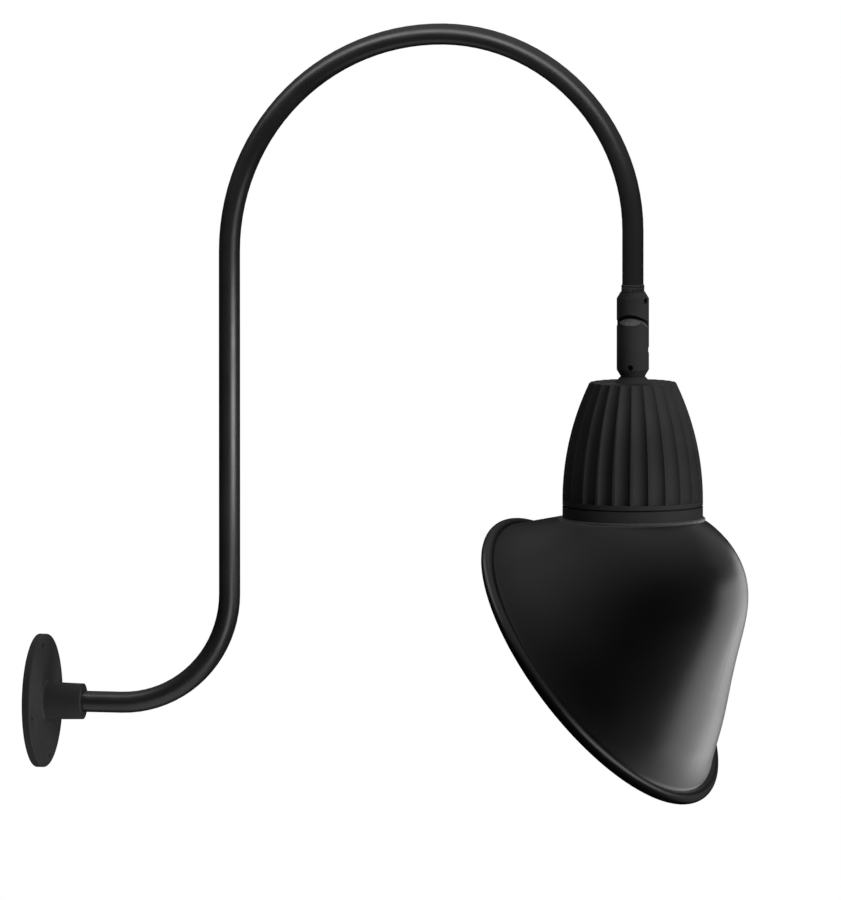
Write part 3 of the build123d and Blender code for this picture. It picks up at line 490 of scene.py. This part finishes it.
def makeLockRing(look):
    low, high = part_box("lock_ring")
    bottom, top = low.z, high.z
    middle = (bottom + top) / 2
    inner, band = look["innerRadius"], look["bandRadius"]
    edge, grooveHalf = look["edge"], look["grooveHalf"]
    outline = (
        (inner, bottom), (band - edge, bottom), (band, bottom + edge), (band, middle - grooveHalf),
        (look["grooveRadius"], middle), (band, middle + grooveHalf), (band, top - edge),
        (band - edge, top), (inner, top),
    )
    shape = bmesh.new()
    corners = [shape.verts.new(head["axis"] + Vector((radius, 0, level))) for radius, level in outline]
    edges = [shape.edges.new(pair) for pair in zip(corners, corners[1:] + corners[:1])]
    bmesh.ops.spin(shape, geom=corners + edges, cent=head["axis"], axis=skyward, angle=tau,
                   steps=look["pockets"], use_merge=True)
    bmesh.ops.remove_doubles(shape, verts=shape.verts, dist=look["weld"])
    bmesh.ops.recalc_face_normals(shape, faces=shape.faces)
    bands = []
    for face in shape.faces:
        reach = (face.calc_center_median() - head["axis"]).to_2d().length
        isUpright = abs(face.normal.z) < look["uprightSlack"]
        if isUpright and reach > band * look["bandShare"]:
            bands.append(face)
    for thickness, depth in ((look["land"], 0.0), (look["taper"], -look["pocketDepth"])):
        bmesh.ops.inset_individual(shape, faces=bands, thickness=thickness, depth=depth,
                                   use_even_offset=True)
    # the pocket floors take the near-black oxide finish: painted shade for the dark inside the pockets
    for face in bands:
        face.material_index = 1
    keepPiece(shape, "lockRingKnurled", ("cast", "oxideAndPocketShade"), "arm", "lock_ring")


makeLockRing(lockRing)
print("lock ring knurled")

# Light chips: pale cases with a slightly domed phosphor window, in two rings on the board
chips = {
    "size": 0.005, "rings": ((0.009, 6), (0.022, 12)), "edge": 0.0003, "edgeSteps": 2,
    "window": 0.0006, "sink": 0.00012, "dome": 0.0003,
}


def makeChips(look):
    low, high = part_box("light_chips")
    middle = Vector((0, 0, (low.z + high.z) / 2))
    size = Matrix.Diagonal((look["size"], look["size"], high.z - low.z, 1))
    facing = Matrix.Rotation(head["heading"].to_2d().angle_signed(Vector((1, 0))), 4, "Z")
    shape = bmesh.new()
    for radius, count in look["rings"]:
        for index in range(count):
            turn = Matrix.Rotation(tau * index / count, 4, "Z")
            out = turn @ (head["heading"] * radius)
            square = turn @ facing
            place = Matrix.Translation(head["axis"] + out + middle)
            made = bmesh.ops.create_cube(shape, size=1.0, matrix=place @ square @ size)
            case = {face for vert in made["verts"] for face in vert.link_faces}
            window = min(case, key=lambda face: face.calc_center_median().z)
            rim = list(window.edges)
            frameWidth, sink = look["window"], look["sink"]
            bmesh.ops.inset_region(shape, faces=[window], thickness=frameWidth, depth=0.0)
            bmesh.ops.inset_region(shape, faces=[window], thickness=sink, depth=-sink)
            window.material_index = 1
            cap = bmesh.ops.inset_region(shape, faces=[window], thickness=frameWidth, depth=look["dome"])
            for face in cap["faces"]:
                face.material_index = 1
            bmesh.ops.bevel(shape, geom=rim, offset=look["edge"], affect="EDGES",
                            segments=look["edgeSteps"], profile=0.5, material=-1)
    coats = ("chipCase", "chipPhosphor")
    keepPiece(shape, "lightChipsDetailed", coats, "head", "light_chips")


makeChips(chips)
print("light chips made")

# Rolled rim: the full round bead over the edge of the shade's mouth
rimRoll = {
    "ringRadius": 0.1654, "rollRadius": 0.0066, "setBack": 0.0010, "sides": 28, "steps": 144, "weld": 1e-6,
}


def makeRimRoll(look):
    across = mouthNormal.cross(skyward).normalized()
    stand = Matrix((across, mouthNormal, across.cross(mouthNormal))).transposed().to_4x4()
    stand.translation = head["mouthCentre"] + across * look["ringRadius"] - mouthNormal * look["setBack"]
    shape = bmesh.new()
    bmesh.ops.create_circle(shape, segments=look["sides"], radius=look["rollRadius"], matrix=stand)
    bmesh.ops.spin(shape, geom=shape.verts[:] + shape.edges[:], cent=head["mouthCentre"], axis=mouthNormal,
                   angle=tau, steps=look["steps"], use_merge=True)
    bmesh.ops.remove_doubles(shape, verts=shape.verts, dist=look["weld"])
    for face in shape.faces:
        face.smooth = True
    keepPiece(shape, "shadeRimRoll", ("shade",), "head")


makeRimRoll(rimRoll)
print("rim rolled")

# Studio: a white room, a dark drape that only reflections see, soft lamps and a pale floor
studio = {"aim": Vector((0.40, 0.0, 0.28)), "roomGlow": 0.08}

# Lamps that aren't mirrored give no highlight, and those with a group light only its pieces
lampBase = {"spread": 180, "mirrored": True, "lights": None}
lamps = {
    "keyLamp": {
        "aim": (0.45, 0, 0.30), "azimuth": 66, "height": 12, "distance": 2.6,
        "size": (1.6, 2.0), "power": 54, "mirrored": False,
    },
    "backLamp": {
        "aim": (0.40, 0, 0.30), "azimuth": 188, "height": 14, "distance": 2.6,
        "size": (2.0, 1.6), "power": 68, "mirrored": False,
    },
    "sideLamp": {
        "aim": (0.45, 0, 0.20), "azimuth": 222, "height": -12, "distance": 2.6,
        "size": (1.8, 1.4), "power": 32, "mirrored": False,
    },
    "topLamp": {
        "aim": (0.62, 0, 0.30), "azimuth": 14, "height": 66, "distance": 1.0,
        "size": (0.5, 0.5), "power": 1.0, "mirrored": False,
    },
    "archLamp": {
        "aim": (0.42, 0, 0.66), "azimuth": -12, "height": 38, "distance": 0.5,
        "size": (1.7, 0.26), "power": 3.1, "spread": 120, "lights": "pipe",
    },
    "postStrip": {
        "aim": (0.20, 0, 0.28), "azimuth": 56, "height": 0, "distance": 0.40,
        "size": (0.46, 0.22), "power": 0.36, "spread": 60, "lights": "pipe",
    },
    "elbowLamp": {
        "aim": (0.19, 0, 0.06), "azimuth": 36, "height": -14, "distance": 0.5,
        "size": (0.3, 0.3), "power": 0.10, "spread": 60, "lights": "pipe",
    },
    "runFill": {
        "aim": (0.12, 0, 0.0), "azimuth": 14, "height": -60, "distance": 0.45,
        "size": (0.7, 0.7), "power": 0.9, "spread": 160, "lights": "pipe",
    },
    "plateFill": {
        "aim": (0.03, 0, 0), "azimuth": 64, "height": -45, "distance": 0.5,
        "size": (0.3, 0.3), "power": 1.3, "mirrored": False, "lights": "plate",
    },
    "lowCard": {
        "aim": (0.62, 0, 0.06), "azimuth": 125, "height": -12, "distance": 1.3,
        "size": (1.24, 1.2), "power": 10.2, "lights": "shade",
    },
    "edgeCard": {
        "aim": (0.62, 0, 0.08), "azimuth": 158, "height": -10, "distance": 1.3,
        "size": (0.55, 1.16), "power": 3.4, "lights": "shade",
    },
    "shoulderCard": {
        "aim": (0.66, 0, 0.14), "azimuth": 142, "height": 27, "distance": 1.3,
        "size": (1.3, 0.7), "power": 0.8, "lights": "shade",
    },
    "faintCard": {
        "aim": (0.62, 0, 0.06), "azimuth": 72, "height": -28, "distance": 1.3,
        "size": (1.0, 0.6), "power": 0.36, "lights": "shade",
    },
    "rimGlint": {
        "aim": (0.58, 0, 0.06), "azimuth": 88, "height": 8, "distance": 1.5,
        "size": (2.0, 0.7), "power": 10, "lights": "rim",
    },
    "rimLine": {
        "aim": (0.45, 0, 0.12), "azimuth": -80, "height": 48, "distance": 1.5,
        "size": (1.7, 0.48), "power": 4.6, "lights": "rim",
    },
    "rimCard": {
        "aim": (0.62, 0, -0.04), "azimuth": 138, "height": -10, "distance": 1.3,
        "size": (1.05, 1.2), "power": 0.85, "lights": "rim",
    },
}
litAlone = {
    "pipe": ("gooseneck_arm", "lockRingKnurled"), "plate": ("wall_plate",),
    "shade": ("shade",), "rim": ("shadeRimRoll",),
}


def bearing(azimuth, height):
    turn, lift = radians(azimuth), radians(height)
    return Vector((sin(turn) * cos(lift), -cos(turn) * cos(lift), sin(lift)))


def aimed(thing, aim, direction, distance):
    thing.location = Vector(aim) + direction * distance
    thing.rotation_mode = "QUATERNION"
    thing.rotation_quaternion = direction.to_track_quat("Z", "Y")


litGroups = {}
for group, names in litAlone.items():
    litGroups[group] = bpy.data.collections.new(group + "Lit")
    for name in names:
        litGroups[group].objects.link(bpy.data.objects[name])
for name, settings in lamps.items():
    look = {**lampBase, **settings}
    light = bpy.data.lights.new(name, "AREA")
    light.shape = "RECTANGLE"
    light.size, light.size_y = look["size"]
    light.energy = look["power"]
    light.spread = radians(look["spread"])
    lamp = bpy.data.objects.new(name, light)
    scene.collection.objects.link(lamp)
    lamp.visible_camera = False
    lamp.visible_glossy = look["mirrored"]
    if look["lights"]:
        lamp.light_linking.receiver_collection = litGroups[look["lights"]]
    aimed(lamp, look["aim"], bearing(look["azimuth"], look["height"]), look["distance"])

# Room: white to the eye, in reflections and through glass, and only a faint glow as light
world = bpy.data.worlds.new("whiteRoom")
scene.world = world
world.use_nodes = True
world.cycles.sampling_method = "NONE"
room = world.node_tree
room.nodes.clear()
rays = addNode(room, "ShaderNodeLightPath")
seen = sums(room, "MAXIMUM", rays.outputs["Is Camera Ray"], rays.outputs["Is Glossy Ray"])
seen = sums(room, "MAXIMUM", seen, rays.outputs["Is Transmission Ray"])
strength = remap(room, seen, studio["roomGlow"], 1.0, 0.0, 1.0)
glow = addNode(room, "ShaderNodeBackground", {"Color": (1, 1, 1), "Strength": strength})
addNode(room, "ShaderNodeOutputWorld", {"Surface": glow.outputs["Background"]})

# Drape: a dark drum round the light, paler towards its top
darkDrape = {
    "radius": 3.4, "carpet": -0.98, "top": 3.2, "hole": 0.02, "folds": 64, "topGlow": 0.6, "topCurve": 2.0,
    "cloth": (0.001, 0.001, 0.001), "clothPale": (0.003, 0.003, 0.003), "weave": (40.0, 2.0),
}
drapeCloth, drapeTree, drapeShader = newFinish("drapeCloth")
drapePlace = objectPlace(drapeTree)
weave = speckle(drapeTree, drapePlace, darkDrape["weave"])
clothColour = blendColour(drapeTree, weave, darkDrape["cloth"], darkDrape["clothPale"])
feed(drapeTree, drapeShader.inputs["Base Color"], clothColour)
drapeShader.inputs["Specular IOR Level"].default_value = 0.0
sight = vectorSums(drapeTree, "NORMALIZE", {0: offsetFrom(drapeTree, drapePlace, studio["aim"])})
rise = sums(drapeTree, "MAXIMUM", along(drapeTree, sight, skyward), 0.0)
curve = sums(drapeTree, "POWER", rise, darkDrape["topCurve"])
paling = sums(drapeTree, "MULTIPLY", curve, darkDrape["topGlow"])
drapeShader.inputs["Emission Color"].default_value = (1, 1, 1, 1)
feed(drapeTree, drapeShader.inputs["Emission Strength"], paling)
drapeCloth.cycles.emission_sampling = "NONE"
middleX = studio["aim"].x
drapeShape = bmesh.new()
drapeOutline = (
    (darkDrape["hole"], darkDrape["carpet"]), (darkDrape["radius"], darkDrape["carpet"]),
    (darkDrape["radius"], darkDrape["top"]), (darkDrape["hole"], darkDrape["top"]),
)
drapeLine = [drapeShape.verts.new((middleX + radius, 0, level)) for radius, level in drapeOutline]
drapeEdges = [drapeShape.edges.new(pair) for pair in zip(drapeLine, drapeLine[1:])]
bmesh.ops.spin(drapeShape, geom=drapeLine + drapeEdges, cent=(middleX, 0, 0), axis=skyward, angle=tau,
               steps=darkDrape["folds"], use_merge=True)
drape = addObject(drapeShape, "darkDrape", [drapeCloth])
drape.visible_camera = False
drape.visible_diffuse = False
drape.visible_shadow = False
drape.visible_transmission = False

# Floor: a pale disc that fades out towards its edge and can't be seen from below
floorDisc = {
    "level": -1.0, "radius": 2.6, "fade": 1.3, "sides": 96, "rough": 0.9,
    "colour": (0.82, 0.82, 0.81), "colourGrimy": (0.80, 0.80, 0.79), "grime": (3.0, 4.0),
}
floorPaint, floorTree, floorShader = newFinish("floorPale")
floorPlace = objectPlace(floorTree)
grime = remap(floorTree, speckle(floorTree, floorPlace, floorDisc["grime"]), 0.0, 1.0)
floorColour = blendColour(floorTree, grime, floorDisc["colour"], floorDisc["colourGrimy"])
feed(floorTree, floorShader.inputs["Base Color"], floorColour)
floorShader.inputs["Roughness"].default_value = floorDisc["rough"]
floorReach = fromAxis(floorTree, floorPlace, studio["aim"])
fade = remap(floorTree, floorReach, 0.0, 1.0, floorDisc["fade"], floorDisc["radius"])
below = addNode(floorTree, "ShaderNodeNewGeometry").outputs["Backfacing"]
gone = addNode(floorTree, "ShaderNodeBsdfTransparent")
veil = addNode(floorTree, "ShaderNodeMixShader", {
    0: sums(floorTree, "MAXIMUM", fade, below), 1: floorShader.outputs["BSDF"], 2: gone.outputs["BSDF"],
})
feed(floorTree, floorTree.nodes["Material Output"].inputs["Surface"], veil.outputs["Shader"])
floorShape = bmesh.new()
bmesh.ops.create_circle(floorShape, cap_ends=True, segments=floorDisc["sides"], radius=floorDisc["radius"],
                        matrix=Matrix.Translation((middleX, 0, floorDisc["level"])))
floor = addObject(floorShape, "floor", [floorPaint])
print("studio lit by", len(lamps), "lamps")

# Camera: a long lens at the photograph's viewing angle, 1 mm to the pixel of a frame 900 pixels tall
view = {
    "azimuth": 14, "height": 5, "distance": 30.0, "target": Vector((0.3951, 0.00017, 0.2605)),
    "frameTall": 0.9, "sensor": 36.0, "clipEnd": 100,
}
lens = bpy.data.cameras.new("camera")
lens.sensor_width = view["sensor"]
lens.lens = view["sensor"] * view["distance"] / view["frameTall"]
lens.clip_end = view["clipEnd"]
camera = bpy.data.objects.new("camera", lens)
scene.collection.objects.link(camera)
aimed(camera, view["target"], bearing(view["azimuth"], view["height"]), view["distance"])
scene.camera = camera
scene.view_settings.view_transform = "Standard"
print("camera set")
